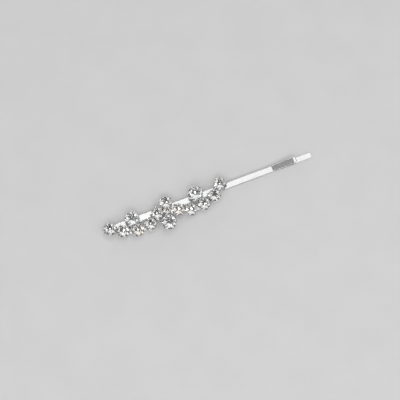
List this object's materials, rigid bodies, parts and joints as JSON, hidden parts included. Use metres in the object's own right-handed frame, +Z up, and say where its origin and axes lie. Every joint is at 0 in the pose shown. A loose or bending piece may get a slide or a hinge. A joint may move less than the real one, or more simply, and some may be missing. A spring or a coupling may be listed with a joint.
{
  "type": "rhinestone hair clip",
  "caption": "Flat sprung hair pin whose upper leg carries a wavy vine of round faceted stones in claw and bezel cups; the legs open at the spring bend.",
  "frame": {"origin": "on the flat underside of the lower leg, halfway along the pin's length and in the middle of its width", "axes": "+X along the pin from the spring bend to the tips, +Y across the pin, +Z up from the underside of the lower leg to the stones"},
  "size_m": [0.06, 0.0092, 0.0042],
  "materials": {
    "pin_silver": "bright silver plate, polished, with fine lengthwise draw marks",
    "cup_silver": "bright silver plate over stamped brass, polished",
    "solder": "plated solder, slightly dull",
    "crystal": "clear faceted glass with a mirror foil on the back facets"
  },
  "bodies": {
    "lower": {"lower_leg": "pin_silver", "spring_bend": "pin_silver"},
    "upper": {"upper_leg": "pin_silver", "backing_plate": "cup_silver", "solder_bend_end": "solder", "solder_middle": "solder", "solder_vine_end": "solder", "claw_cup_01": "cup_silver", "claw_cup_02": "cup_silver", "bezel_cup_03": "cup_silver", "claw_cup_04": "cup_silver", "claw_cup_05": "cup_silver", "claw_cup_06": "cup_silver", "claw_cup_07": "cup_silver", "small_claw_cup_08": "cup_silver", "bezel_cup_09": "cup_silver", "claw_cup_10": "cup_silver", "claw_cup_11": "cup_silver", "bezel_cup_12": "cup_silver", "claw_cup_13": "cup_silver", "claw_cup_14": "cup_silver", "claw_cup_15": "cup_silver", "stone_01": "crystal", "stone_02": "crystal", "stone_03": "crystal", "stone_04": "crystal", "stone_05": "crystal", "stone_06": "crystal", "stone_07": "crystal", "stone_08": "crystal", "stone_09": "crystal", "stone_10": "crystal", "stone_11": "crystal", "stone_12": "crystal", "stone_13": "crystal", "stone_14": "crystal", "stone_15": "crystal"}
  },
  "joints": [
    {"name": "leg_flex", "type": "hinge", "parent": "lower", "child": "upper", "pos_m": [-0.02945, 0, 0.00055], "axis": [0, -1, 0], "range_deg": [0, 12], "stiffness_Nm_per_rad": 0.06, "springref_deg": -4.58}
  ]
}
